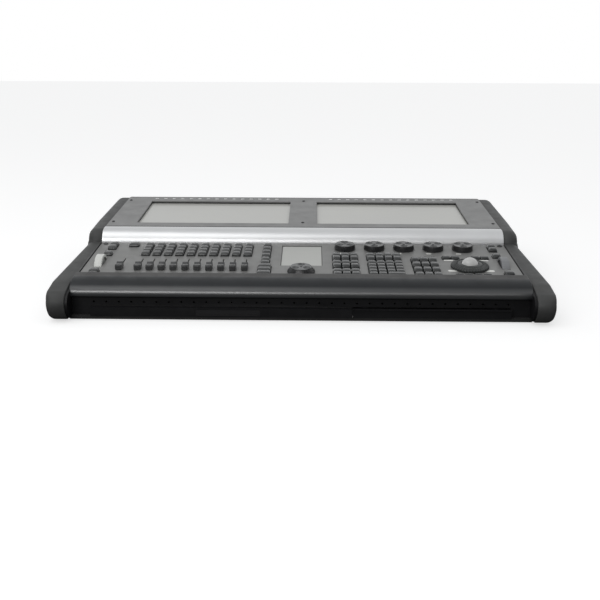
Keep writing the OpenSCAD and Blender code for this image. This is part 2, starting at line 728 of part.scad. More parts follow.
// Knob with a bevelled rim and three finger dimples; r0 is its skirt and r1 its top
module dimpled_knob(r0, r1, h, dimple_at, turn = 90) {
    color(black) difference() {
        union() {
            cylinder(r = r0, h = h * 0.3);
            translate([0, 0, h * 0.3]) cylinder(r1 = r0, r2 = r1, h = h * 0.7);
        }
        for (a = [0, 120, 240]) rotate(turn + a) translate([dimple_at, 0, h + 5.5]) sphere(r = 8.5);
        translate([0, 0, h - 0.6]) cylinder(r = 3, h = 2);
    }
    color(steel) translate([0, 0, -14]) cylinder(r = shaft_r, h = 15);
}
module encoder(i) on_panel(encoder_xs[i - 1], encoder_s, knob_z)
    dimpled_knob(encoder_r, encoder_r - 2, knob_h, 13, i == 1 ? 90 : 30);
module menu_dial() on_panel(0, dial_s, knob_z) dimpled_knob(dial_base_r, dial_top_r, dial_h, 13);

module thumb_wheel(side) translate([side * wheel_x, wheel_y, wheel_z]) rotate([0, 90, 0])
    color([0.85, 0.85, 0.82]) difference() {
        union() {
            cylinder(r = wheel_r, h = wheel_w - 1.6, center = true, $fn = 96);
            cylinder(r = wheel_r - 0.8, h = wheel_w, center = true, $fn = 96);
        }
        cylinder(r = shaft_r + running, h = wheel_w + 2, center = true);
        for (e = [0, 1]) mirror([0, 0, e]) translate([0, 0, 4]) difference() {
            cylinder(r = wheel_r - 6, h = 10);
            cylinder(r = 8, h = 10);
        }
    }
module left_wheel() thumb_wheel(-1);
module right_wheel() thumb_wheel(1);

module trackball() color([0.8, 0.8, 0.8]) on_panel(ball_x, ball_s, ball_rise) sphere(r = ball_r);

// Jog ring with finger grooves round its rim
jog_grooves = 40;
module jog_ring() color(charcoal) on_panel(ball_x, ball_s, 0) difference() {
    union() {
        translate([0, 0, 1]) linear_extrude(5) difference() {
            circle(jog_r, $fn = 120);
            for (i = [1 : jog_grooves]) rotate(i * 360 / jog_grooves)
                translate([jog_r + 0.5, 0]) circle(1.5, $fn = 16);
        }
        translate([0, 0, 6]) cylinder(r1 = jog_r - 1, r2 = jog_r - 9, h = 3.5, $fn = 120);
        translate([0, 0, -6]) cylinder(r = collar_r + 2.2, h = 8);
    }
    translate([0, 0, -7]) cylinder(r = collar_r + running, h = 8.2);
    cylinder(r = collar_r - 0.5, h = 12);
}

// ---- keys ----------------------------------------------------------------------------------

// Square key with sloped shoulders, a lower front edge and a stem down to its switch
module key(x, s, w = key_side, l = key_side, h = key_h) on_panel(x, s, 0) {
    intersection() {
        translate([-w / 2, 0, 0]) rotate([90, 0, 90]) linear_extrude(w)
            polygon([[-l / 2, -4], [l / 2, -4], [l / 2, h * 0.45], [l / 2 - 2, h],
                [-l / 2 + 3.2, h - 0.8], [-l / 2, h * 0.35]]);
        translate([0, l / 2, 0]) rotate([90, 0, 0]) linear_extrude(l)
            polygon([[-w / 2, -4], [w / 2, -4], [w / 2, h * 0.4], [w / 2 - 2, h + 1],
                [-w / 2 + 2, h + 1], [-w / 2, h * 0.4]]);
    }
    translate([-2, -2, -11]) cube([4, 4, 8]);
}

module playback_keys() color(charcoal) {
    for (x = fader_xs) for (s = playback_ss) key(x, s);
}
module master_keys() color(charcoal) {
    key(single_key[0], single_key[1], key_side + 4);
    for (s = master_ss) key(master_x, s);
    for (s = wide_ss) key(master_x, s, wide_key_w);
}
module number_keys() color(charcoal) {
    for (x = block_b_xs) {
        for (i = [0 : 3]) key(x, number_ss[i], key_side, number_key_l);
        for (i = [4, 5]) key(x, number_ss[i]);
    }
    for (i = [0, 1]) key(block_b_xs[i], last_row_s, key_side, number_key_l);
    key((block_b_xs[2] + block_b_xs[3]) / 2, last_row_s, key_pitch + key_side, number_key_l);
}
module command_keys() color(charcoal) {
    for (x = block_a_xs) for (s = block_a_ss) key(x, s);
    for (x = block_c_xs) for (s = block_c_ss) key(x, s, key_side, block_c_l);
}
module side_keys() color(charcoal) {
    for (x = pointer_top_xs) key(x, pointer_top_s, key_side, 12, 5);
    for (x = pointer_low_xs) key(x, pointer_low_s, key_side, 9, 5);
    for (side = [-1, 1]) {
        for (s = side_ss) key(side * side_key_x, s);
        key(side * (wheel_x - 1), 0, 20);
    }
}

// ---- one line per node ---------------------------------------------------------------------

base_pan();
left_cheek();
right_cheek();
armrest();
control_panel();
front_panel();
rear_panel();
rear_deck();
rubber_feet();
menu_display();
optical_drive();
main_board();
power_supply();
key_boards();
fader_modules();
encoder_modules();
rear_sockets();
network_sockets();
mains_inlet();
lamp_sockets();
trackball_cup();
light_bars();
steel_stands();
drawer_rails();
keyboard_drawer();
keyboard();
screen_shell();
screen_bezel();
left_screen();
right_screen();
step_trim();
left_screen_cheek();
right_screen_cheek();
bezel_screws();
grand_fader();
fader(1);  // fader_1
fader(2);  // fader_2
fader(3);  // fader_3
fader(4);  // fader_4
fader(5);  // fader_5
fader(6);  // fader_6
fader(7);  // fader_7
fader(8);  // fader_8
fader(9);  // fader_9
fader(10);  // fader_10
encoder(1);  // encoder_1
encoder(2);  // encoder_2
encoder(3);  // encoder_3
encoder(4);  // encoder_4
encoder(5);  // encoder_5
menu_dial();
left_wheel();
right_wheel();
trackball();
jog_ring();
playback_keys();
master_keys();
number_keys();
command_keys();
side_keys();
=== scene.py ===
"""Looks of a stage lighting control desk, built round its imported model.

Lengths in this file are millimetres until mesh_piece() writes them as metres.  X runs along the
desk, Y towards its back, Z up, and the origin is on the table under the middle of the desk.
"""

import json
import math

import bmesh
import bpy
import numpy as np
from mathutils import Matrix, Vector

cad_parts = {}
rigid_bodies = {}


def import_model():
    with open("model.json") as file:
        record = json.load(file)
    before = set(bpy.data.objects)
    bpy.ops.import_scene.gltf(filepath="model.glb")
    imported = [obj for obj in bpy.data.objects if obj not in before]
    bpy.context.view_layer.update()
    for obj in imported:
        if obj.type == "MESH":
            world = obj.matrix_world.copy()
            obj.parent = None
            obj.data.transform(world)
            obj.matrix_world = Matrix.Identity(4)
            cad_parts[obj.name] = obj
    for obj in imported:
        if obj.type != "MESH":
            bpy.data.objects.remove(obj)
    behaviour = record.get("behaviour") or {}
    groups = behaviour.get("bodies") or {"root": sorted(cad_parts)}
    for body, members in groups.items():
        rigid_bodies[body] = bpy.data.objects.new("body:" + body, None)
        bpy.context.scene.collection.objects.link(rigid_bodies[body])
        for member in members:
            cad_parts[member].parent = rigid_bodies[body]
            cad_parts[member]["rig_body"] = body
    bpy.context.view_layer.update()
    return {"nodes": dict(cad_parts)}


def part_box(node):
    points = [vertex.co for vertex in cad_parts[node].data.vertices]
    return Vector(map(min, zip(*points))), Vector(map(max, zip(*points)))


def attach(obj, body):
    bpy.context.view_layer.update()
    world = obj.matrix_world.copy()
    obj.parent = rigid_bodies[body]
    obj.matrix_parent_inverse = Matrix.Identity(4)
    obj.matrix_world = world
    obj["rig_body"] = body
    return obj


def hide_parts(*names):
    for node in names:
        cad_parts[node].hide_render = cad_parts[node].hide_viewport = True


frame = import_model()

MM = 0.001
MERGE = 1e-5  # metres

# ---- places taken from the frame -------------------------------------------------------------


def node_box(node):
    """Lowest and highest corner of a CAD node, in millimetres."""
    low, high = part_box(node)
    return np.array(low) / MM, np.array(high) / MM


PANEL_TILT = math.radians(5.2)
BEZEL_TILT = math.radians(3.9)
CHEEK_TILT = math.radians(3.4)
LINE_Y = -227.0  # front line of the control panel
PANEL_Z = 75.0
HINGE_Y = 6.0
HINGE_Z = 90.5
STEP_R = 31.5
NOSE_X = 504.6  # outer faces of the cheeks
REAR_X = 500.0
DRUM_X = 497.0
INNER_X = 463.0
NOSE_IN = 465.5  # inner face of a cheek beside the armrest
RIM = 2.0  # rise of the lower cheeks above the panel
TRIM_L = 14.0  # flat of the trim in front of the bezel
BACK_Y = 350.0
UNIT_Z = 80.0  # underside of the screen unit
LOW_ROUND = 3.0  # edge round of the upper cheeks below, and above and behind
TOP_ROUND = 18.0
CORNER_RUN = 42.0  # stretch of the underside over which its round opens to the back's
# Heights of the black strip under the front wall, which is painted shadow under the desk.
SHADOW_STRIP_Z = (1.8, 8.3)

FADER_XS = [-345.3 + 25.1 * i for i in range(10)]
GRAND_X = -384.5
FADER_REST = 24.0
PLAYBACK_SS = [116 + 19.5 * i for i in range(4)]
MASTER_X = -78.0
MASTER_SS = [57, 78, 105, 128.5, 152, 175]
WIDE_SS = [-8, 14, 35]
BLOCK_A_XS = [76, 95, 114]
BLOCK_A_SS = [-11.5, 7, 40.5, 60, 91.5, 111]
BLOCK_B_XS = [151, 170, 189, 208]
NUMBER_SS = [6, 24, 42, 60]
BLOCK_B_TOP_SS = [91.5, 111]
LAST_ROW_S = -12.0
BLOCK_C_XS = [246, 265, 284]
BLOCK_C_SS = [-12, 20, 52.5, 85]
ENCODER_XS = [96.5 + 66.2 * i for i in range(5)]
ENCODER_S = 164.0
DIAL_S = 5.0
BALL_X = 358.0
BALL_S = 44.0
BALL_R = 19.0
BALL_RISE = 3.0
WHEEL_X = 434.0
WHEEL_S = 65.0
WHEEL_R = 36.0
WHEEL_W = 16.0
WHEEL_DROP = 20.0
SIDE_KEY_X = 428.0
SIDE_SS = [113, 157, 178]
KEY = 17.8
KEY_H = 7.5


def on_plane(points, y0, z0, tilt):
    """Turns points by the tilt about X and moves them to (y0, z0): y' = y cos t - z sin t."""
    p = np.asarray(points, float)
    c, s = math.cos(tilt), math.sin(tilt)
    return np.stack([p[..., 0], y0 + p[..., 1] * c - p[..., 2] * s,
                     z0 + p[..., 1] * s + p[..., 2] * c], axis=-1)


def on_panel(points):
    """Points given as (x, s, height) on the control panel, in the desk's frame."""
    return on_plane(points, LINE_Y, PANEL_Z, PANEL_TILT)


def on_bezel(points):
    """Points given as (x, t, height) on the bezel, in the desk's frame."""
    return on_plane(points, HINGE_Y, HINGE_Z + STEP_R, BEZEL_TILT)


# ---- surfaces as grids -------------------------------------------------------------------------


def ring(w, l, r, n=6):
    """A rounded rectangle w by l: four quarter circles of radius r on its corners, n steps each."""
    r = min(r, w / 2 - 1e-3, l / 2 - 1e-3)
    a = np.concatenate([np.linspace(q, q + math.pi / 2, n) for q in
                        (0, math.pi / 2, math.pi, 3 * math.pi / 2)])
    sx = np.repeat([1, -1, -1, 1], n)
    sy = np.repeat([1, 1, -1, -1], n)
    return np.stack([sx * (w / 2 - r) + r * np.cos(a), sy * (l / 2 - r) + r * np.sin(a)], axis=-1)


def stack(layers):
    """Rings (w, l, r, z, dy) piled up as one grid; the last one closes at its middle."""
    rows = []
    for w, l, r, z, dy in layers:
        xy = ring(w, l, r)
        rows.append(np.column_stack([xy[:, 0], xy[:, 1] + dy, np.full(len(xy), z)]))
    return np.array(rows)


def revolve(profile, n=64):
    """A profile of (radius, height) turned about Z: x = r cos a, y = r sin a."""
    p = np.asarray(profile, float)
    a = np.linspace(0, 2 * math.pi, n, endpoint=False)
    return np.stack([p[:, :1] * np.cos(a), p[:, :1] * np.sin(a),
                     np.repeat(p[:, 1:], n, axis=1)], axis=-1)


def sweep_x(outline, xs):
    """An outline of (y, z) carried along X through the stations xs."""
    o = np.asarray(outline, float)
    return np.stack([np.column_stack([np.full(len(o), x), o]) for x in xs])


def arc(cy, cz, ry, rz, a0, a1, n):
    """Points of an ellipse about (cy, cz) from angle a0 to a1 in degrees."""
    a = np.radians(np.linspace(a0, a1, n))
    return np.column_stack([cy + ry * np.cos(a), cz + rz * np.sin(a)])


def inset_outline(outline, amount):
    """Moves each point of a closed outline inwards along the mean normal, by its own amount over
    the cosine of half the turn there, so that straight sides move by just that amount."""
    o = np.asarray(outline, float)
    before, after = np.roll(o, 1, axis=0), np.roll(o, -1, axis=0)
    t = (after - o) / (np.linalg.norm(after - o, axis=1, keepdims=True) + 1e-9)
    t += (o - before) / (np.linalg.norm(o - before, axis=1, keepdims=True) + 1e-9)
    size = np.linalg.norm(t, axis=1, keepdims=True)
    move = np.asarray(amount)[:, None] / np.maximum(size / 2, 0.6)
    return o + np.column_stack([-t[:, 1], t[:, 0]]) / (size + 1e-9) * move


def even(outline, step):
    """Puts points every step along a closed outline, keeping its corners."""
    o = np.asarray(outline, float)
    out = []
    for a, b in zip(o, np.roll(o, -1, axis=0)):
        n = max(1, int(round(np.linalg.norm(b - a) / step)))
        out.extend(a + (b - a) * k / n for k in range(n))
    return np.array(out)


def grid_faces(rows, cols, first):
    """Quads between neighbouring points of a rows by cols grid whose rows close on themselves."""
    i = np.arange(rows - 1)[:, None]
    j = np.arange(cols)[None, :]
    k = (j + 1) % cols
    quad = np.stack([i * cols + j, i * cols + k, (i + 1) * cols + k, (i + 1) * cols + j], axis=-1)
    return quad.reshape(-1, 4) + first


class Shape:
    """Grids gathered for one mesh, each closed at its ends where asked."""

    def __init__(self):
        self.points, self.quads, self.polygons, self.count = [], [], [], 0

    def add(self, grid, cap_start=True, cap_end=True):
        """Takes in a grid whose rows are rings, with a polygon across its first and last one."""
        rows, cols = grid.shape[:2]
        self.quads.append(grid_faces(rows, cols, self.count))
        if cap_start:
            self.polygons.append([self.count + j for j in range(cols)][::-1])
        if cap_end:
            self.polygons.append([self.count + (rows - 1) * cols + j for j in range(cols)])
        self.points.append(grid.reshape(-1, 3))
        self.count += rows * cols
        return self


def mesh_piece(name, shape, body, material, replaces=(), smooth=35):
    """Writes a Shape as a mesh in metres, welds its seams and poles and turns its faces outwards."""
    points = np.concatenate(shape.points) * MM
    faces = [f.tolist() for f in np.concatenate(shape.quads)] + shape.polygons
    mesh = bpy.data.meshes.new(name)
    mesh.from_pydata(points.tolist(), [], faces)
    obj = bpy.data.objects.new(name, mesh)
    bpy.context.scene.collection.objects.link(obj)
    weld(mesh)
    return dress(obj, body, material, replaces, smooth)


def weld(mesh):
    """Merges points that lie together, drops faces without area and turns the rest outwards."""
    b = bmesh.new()
    b.from_mesh(mesh)
    bmesh.ops.remove_doubles(b, verts=b.verts, dist=MERGE)
    bmesh.ops.dissolve_degenerate(b, edges=b.edges, dist=MERGE)
    bmesh.ops.recalc_face_normals(b, faces=b.faces)
    b.to_mesh(mesh)
    b.free()


def dress(obj, body, material, replaces, smooth):
    """Gives a piece its body, material and shading."""
    obj.data.materials.clear()
    obj.data.materials.append(material)
    obj.data.shade_smooth()
    obj.data.set_sharp_from_angle(angle=math.radians(smooth))
    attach(obj, body)
    if replaces:
        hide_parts(*replaces)
    return obj


def softened(node, material, width, segments=2, angle=30):
    """A welded copy of a CAD node with its flat faces made whole and its edges rounded."""
    source = frame["nodes"][node]
    mesh = source.data.copy()
    obj = bpy.data.objects.new(node + "_shell", mesh)
    bpy.context.scene.collection.objects.link(obj)
    b = bmesh.new()
    b.from_mesh(mesh)
    bmesh.ops.remove_doubles(b, verts=b.verts, dist=MERGE)
    bmesh.ops.dissolve_limit(b, angle_limit=math.radians(1), verts=b.verts, edges=b.edges)
    b.to_mesh(mesh)
    b.free()
    m = obj.modifiers.new("edges", "BEVEL")
    m.width = width * MM
    m.segments = segments
    m.limit_method = "ANGLE"
    m.angle_limit = math.radians(angle)
    m.harden_normals = True
    return dress(obj, source["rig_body"], material, (node,), 40)


# ---- materials ---------------------------------------------------------------------------------


class Finish:
    """A node material that starts from a Principled shader and object coordinates."""

    def __init__(self, name, colour, rough, metal=0.0, coat=0.0, coat_rough=0.1, specular=0.5):
        self.material = bpy.data.materials.new(name)
        self.material.use_nodes = True
        self.tree = self.material.node_tree
        self.shader = self.tree.nodes["Principled BSDF"]
        self.set("Base Color", (*colour, 1))
        self.set("Roughness", rough)
        self.set("Metallic", metal)
        self.set("Coat Weight", coat)
        self.set("Coat Roughness", coat_rough)
        self.set("Specular IOR Level", specular)
        self.colour, self.rough = colour, rough
        self.where = self.tree.nodes.new("ShaderNodeTexCoord").outputs["Object"]
        self.height = None

    def set(self, socket, value):
        self.shader.inputs[socket].default_value = value

    def node(self, kind, **inputs):
        n = self.tree.nodes.new(kind)
        for key, value in inputs.items():
            socket = n.inputs[key.replace("_", " ")]
            if hasattr(value, "links"):
                self.tree.links.new(value, socket)
            else:
                socket.default_value = value
        return n

    def noise(self, scale, detail=4.0, rough=0.55, stretch=(1, 1, 1)):
        """Noise of a feature size of 1/scale metres, stretched along the axes."""
        m = self.node("ShaderNodeMapping", Vector=self.where, Scale=stretch)
        n = self.node("ShaderNodeTexNoise", Vector=m.outputs[0], Scale=scale, Detail=detail,
                      Roughness=rough)
        return n.outputs["Fac"]

    def ramp(self, value, low, high, dark, light):
        """Maps a value between low and high to two colours or numbers."""
        n = self.tree.nodes.new("ShaderNodeValToRGB")
        self.tree.links.new(value, n.inputs[0])
        n.color_ramp.elements[0].position = low
        n.color_ramp.elements[1].position = high
        for e, c in zip(n.color_ramp.elements, (dark, light)):
            e.color = (*c, 1) if hasattr(c, "__len__") else (c, c, c, 1)
        return n.outputs[0]

    def link(self, output, socket):
        self.tree.links.new(output, self.shader.inputs[socket])

    def mottled(self, scale, spread, tint=(1, 1, 1), stretch=(1, 1, 1)):
        """Varies the base colour by a share either way."""
        dark = tuple(c * (1 - spread) for c in self.colour)
        light = tuple(min(1.0, c * (1 + spread) * t) for c, t in zip(self.colour, tint))
        self.link(self.ramp(self.noise(scale, stretch=stretch), 0.3, 0.7, dark, light),
                  "Base Color")
        return self

    def banded(self, axis, low, high, first, second, spread=0.1):
        """Blends two colours along an axis between two places in metres, each a little mottled."""
        parts = self.node("ShaderNodeSeparateXYZ", Vector=self.where)
        share = self.node("ShaderNodeMapRange", Value=parts.outputs[axis], From_Min=low,
                          From_Max=high)
        share.interpolation_type = "SMOOTHSTEP"
        colours = [self.ramp(self.noise(16), 0.3, 0.7, tuple(c * (1 - spread) for c in colour),
                             tuple(c * (1 + spread) for c in colour))
                   for colour in (first, second)]
        mix = self.tree.nodes.new("ShaderNodeMixRGB")
        self.tree.links.new(share.outputs[0], mix.inputs[0])
        self.tree.links.new(colours[0], mix.inputs[1])
        self.tree.links.new(colours[1], mix.inputs[2])
        self.link(mix.outputs[0], "Base Color")
        return self

    def polished(self, axis, low, high, ior=2.0):
        """Lays a glossy coat from one place along an axis to another, where hands rub."""
        parts = self.node("ShaderNodeSeparateXYZ", Vector=self.where)
        share = self.node("ShaderNodeMapRange", Value=parts.outputs[axis], From_Min=low,
                          From_Max=high)
        self.link(share.outputs[0], "Coat Weight")
        self.set("Coat IOR", ior)
        return self

    def worn(self, scale, spread, stretch=(1, 1, 1)):
        """Varies the roughness, as handling does."""
        low, high = max(0.02, self.rough - spread), min(1.0, self.rough + spread)
        self.link(self.ramp(self.noise(scale, 5.0, stretch=stretch), 0.3, 0.7, low, high),
                  "Roughness")
        return self

    def grain(self, scale, depth, detail=2.0, stretch=(1, 1, 1)):
        """Raises a fine grain by depth millimetres."""
        bump = self.node("ShaderNodeBump", Strength=1.0, Distance=depth * MM,
                         Height=self.noise(scale, detail, 0.5, stretch))
        if self.height is not None:
            self.tree.links.new(self.height, bump.inputs["Normal"])
        self.height = bump.outputs[0]
        self.link(self.height, "Normal")
        return self


def make_materials():
    """Every finish of the desk by a maker's name."""
    m = {}
    m["panel"] = Finish("panel_paint", (0.205, 0.205, 0.2), 0.42, specular=0.45)
    m["panel"].mottled(14, 0.05).worn(35, 0.07).grain(1500, 0.02)
    m["bezel"] = Finish("bezel_paint", (0.2, 0.2, 0.198), 0.4, specular=0.45)
    m["bezel"].mottled(9, 0.05).worn(30, 0.07).grain(1500, 0.02)
    m["cheek"] = Finish("cheek_texture", (0.062, 0.063, 0.062), 0.48, specular=0.3)
    m["cheek"].mottled(30, 0.12).worn(60, 0.08).grain(700, 0.1, 3).grain(160, 0.04)
    m["armrest"] = Finish("armrest_skin", (0.017, 0.019, 0.021), 0.42, specular=0.3,
                          coat_rough=0.3)
    m["armrest"].banded("Y", -0.279, -0.272, (0.017, 0.019, 0.021), (0.05, 0.049, 0.048))
    m["armrest"].polished("Z", 0.07, 0.059).worn(25, 0.08)
    m["seam"] = Finish("seam_black", (0.01, 0.01, 0.01), 0.9, specular=0.0).mottled(60, 0.1)
    m["vent"] = Finish("vent_lip", (0.75, 0.75, 0.74), 0.3).mottled(60, 0.08).grain(1200, 0.02)
    m["steel"] = Finish("black_powder_coat", (0.008, 0.008, 0.009), 0.5, specular=0.3)
    m["steel"].mottled(20, 0.15).worn(40, 0.08).grain(1200, 0.04)
    m["silver"] = Finish("satin_aluminium", (0.76, 0.765, 0.77), 0.38, metal=1.0)
    m["silver"].mottled(9, 0.03).worn(7, 0.03)
    m["zinc"] = Finish("zinc_plate", (0.55, 0.55, 0.53), 0.34, metal=1.0).mottled(60, 0.1).worn(80, 0.1)
    m["key"] = Finish("key_gloss", (0.024, 0.026, 0.026), 0.45, coat=1.0, coat_rough=0.14,
                      specular=0.2)
    m["key"].mottled(50, 0.2).worn(120, 0.07).grain(900, 0.01)
    m["knob"] = Finish("knob_soft_black", (0.018, 0.018, 0.019), 0.3, coat=0.2, coat_rough=0.3)
    m["knob"].mottled(70, 0.15).worn(90, 0.08).grain(1200, 0.03)
    m["cap"] = Finish("fader_cap_black", (0.05, 0.051, 0.052), 0.38).mottled(80, 0.12)
    m["cap"].worn(90, 0.08).grain(1200, 0.03)
    m["knob_top"] = Finish("knob_top_grey", (0.06, 0.062, 0.063), 0.3, coat=0.5, coat_rough=0.2)
    m["knob_top"].mottled(80, 0.12).worn(90, 0.1).grain(1200, 0.03)
    m["ring"] = Finish("ring_grey", (0.034, 0.037, 0.036), 0.38).mottled(60, 0.12).worn(80, 0.08)
    m["ring"].grain(1200, 0.03)
    m["pearl"] = Finish("pearl_ball", (0.5, 0.5, 0.49), 0.14, coat=1.0, coat_rough=0.05)
    m["pearl"].mottled(45, 0.12)
    m["white"] = Finish("frosted_white", (0.78, 0.78, 0.75), 0.38, coat=0.2)
    m["white"].mottled(40, 0.03).grain(900, 0.02)
    m["wheel_white"] = Finish("wheel_frosted", (0.7, 0.71, 0.68), 0.36, coat=0.3)
    m["wheel_white"].mottled(60, 0.05).worn(60, 0.08).grain(1000, 0.03)
    m["wheel_grey"] = Finish("wheel_silver", (0.22, 0.225, 0.235), 0.34, coat=0.2)
    m["wheel_grey"].mottled(60, 0.08).worn(60, 0.08).grain(1000, 0.03)
    # Light grey base colour: painted reflection of the bright surroundings in the glass; the coat adds a
    # real reflection on top.
    m["glass"] = Finish("screen_glass_painted_reflection", (0.5, 0.5, 0.475), 0.3, coat=0.3, coat_rough=0.1)
    m["glass"].mottled(3, 0.03, (1, 1, 0.98))
    m["touch"] = Finish("touch_film", (0.5, 0.505, 0.485), 0.6, specular=0.25).mottled(8, 0.03)
    m["rubber"] = Finish("foot_rubber", (0.016, 0.016, 0.016), 0.8).mottled(60, 0.2).grain(600, 0.08)
    m["board"] = Finish("circuit_board", (0.02, 0.11, 0.045), 0.35).mottled(90, 0.15).grain(500, 0.05)
    m["socket"] = Finish("socket_black", (0.014, 0.014, 0.015), 0.4).mottled(90, 0.15)
    m["socket"].grain(900, 0.03)
    return {k: f.material for k, f in m.items()}


MATERIALS = make_materials()

# ---- cheeks ------------------------------------------------------------------------------------


def rounded_slab(outline, side, x_in, outer, radius, steps=9):
    """A slab from x_in out to outer(y), whose outer edge is rounded: at angle a of the round the
    outline moves inwards by r (1 - cos a) while x moves on by r sin a, with r set per point.  At
    the back r is TOP_ROUND down to the flat underside.  That rises by LOW_ROUND (1 - cos a) all
    along, but its r across x opens from LOW_ROUND to TOP_ROUND towards the back."""
    o = even(outline, 3.0)
    low = (o[:, 0] > HINGE_Y + 60) & (o[:, 1] < UNIT_Z + 1.5)
    r = np.where(low, LOW_ROUND, np.where(o[:, 0] > BACK_Y - 0.5, TOP_ROUND, radius(o)))
    x_out = outer(o[:, 0])
    rows = [(inset_outline(o, np.full(len(o), 0.8)), np.full(len(o), x_in)),
            (o, np.full(len(o), x_in + 0.8))]
    for a in np.linspace(0, math.pi / 2, steps):
        k = 1 - math.cos(a)
        yz = inset_outline(o, r * k)
        back = BACK_Y - TOP_ROUND * k
        yz[:, 0] = np.minimum(yz[:, 0], back)
        yz[:, 1] = np.where(low, UNIT_Z + LOW_ROUND * k, yz[:, 1])
        opening = np.interp(yz[:, 0], [BACK_Y - CORNER_RUN, back], [LOW_ROUND, TOP_ROUND])
        wide = np.where(low, opening, r)
        rows.append((yz, x_out - wide * (1 - math.sin(a))))
    return Shape().add(np.stack([np.column_stack([side * x, yz]) for yz, x in rows]))


def panel_height(d):
    """Height of the control panel at d behind its front line."""
    return PANEL_Z + d * math.tan(PANEL_TILT)


def cheek_height(d):
    """Height of the top of an upper cheek at d behind the hinge axis."""
    return HINGE_Z + STEP_R + d * math.tan(CHEEK_TILT)


def line(p, q, n):
    """n points from p towards q, without q."""
    k = np.arange(n)[:, None] / n
    return np.asarray(p, float) + (np.asarray(q, float) - np.asarray(p, float)) * k


def lower_cheek_outline(a):
    """Outline and radii of the lower cheek's outer round at angle a of that round, anticlockwise.

    The round is wide at the drum and tight at the nose.  With k = 1 - cos a, the slope sinks by
    16 k at the drum and 5 k at the nose, the nose shrinks by up to 15 k and the tip of the drum
    pocket slides down the pocket's arc."""
    k = 1 - math.cos(a)
    pocket_r = STEP_R + 0.9
    ledge = UNIT_Z - 1
    meet = 360 + math.degrees(math.asin((ledge - HINGE_Z) / pocket_r))
    tip = 180 - math.degrees(math.asin((panel_height(200.6) + RIM - 16 * k - HINGE_Z) / pocket_r))
    low, back = 9 + 5 * k, BACK_Y - 24 * k
    turn = np.linspace(96, 262, 40)
    nose_r = np.interp(turn, [96, 150, 215, 262], [5, 15, 15, 16])
    deep = 6 * np.clip((turn - 180) / 60, 0, 1)
    nose = np.radians(turn)
    nose_points = np.column_stack([-323 + (27 - nose_r * k) * np.cos(nose),
                                   PANEL_Z - 39 + (27 + deep - nose_r * k) * np.sin(nose)])
    pocket = arc(HINGE_Y, HINGE_Z, pocket_r, pocket_r, meet, tip, 30)
    crest = [LINE_Y - 60, panel_height(-60) + RIM - 5 * k]
    parts = [
        (line([-316, 3 + 16 * k], [-230, 3 + 16 * k], 12), np.full(12, 16.0)),
        (line([-230, 3 + 16 * k], [-150, low], 10), np.linspace(16, 5, 10)),
        (line([-150, low], [back, low], 40), np.full(40, 5.0)),
        (line([back, low], [back, ledge], 8), np.full(8, 24.0)),
        (line([back, ledge], pocket[0], 20), np.linspace(24, 3, 20)),
        (pocket, np.concatenate([np.full(20, 3.0), np.linspace(3, 16, 10)])),
        (line(pocket[-1], crest, 40)[1:], np.linspace(16, 5, 40)[1:]),
        (line(crest, nose_points[0], 6), np.full(6, 5.0)),
        (nose_points, nose_r),
    ]
    return np.concatenate([p for p, _ in parts]), np.concatenate([r for _, r in parts])


def lower_cheek_face(y):
    """Outer face: x falls from the nose to the drum, then stays."""
    return NOSE_X + (DRUM_X - NOSE_X) * np.clip((y + 350) / 320, 0, 1)


def upper_cheek_outline():
    """Drum about the hinge axis, body under the cheek's slope, roll at the back."""
    drum = STEP_R - 0.5
    meet = 360 + math.degrees(math.asin((UNIT_Z - HINGE_Z) / drum))
    back_z = cheek_height(301.5) - 22
    return np.concatenate([
        arc(HINGE_Y, HINGE_Z, drum, drum, 96, meet, 40),
        [[BACK_Y - 1, UNIT_Z], [BACK_Y, UNIT_Z + 1]],
        arc(BACK_Y - 42, back_z, 42, 22, 0, 86, 16),
    ])


def upper_radius(o):
    """Round of the upper cheeks: narrow below the hinge axis, opening over 14 mm of height."""
    y, z = o[:, 0], o[:, 1]
    top = np.clip((z - (HINGE_Z - 6)) / 14, 0, 1)
    return LOW_ROUND + (TOP_ROUND - LOW_ROUND) * top


def cut_front(outline, y0):
    """The part of a closed outline behind y0, with its front points moved onto y0."""
    o = outline.copy()
    o[:, 0] = np.maximum(o[:, 0], y0)
    return o


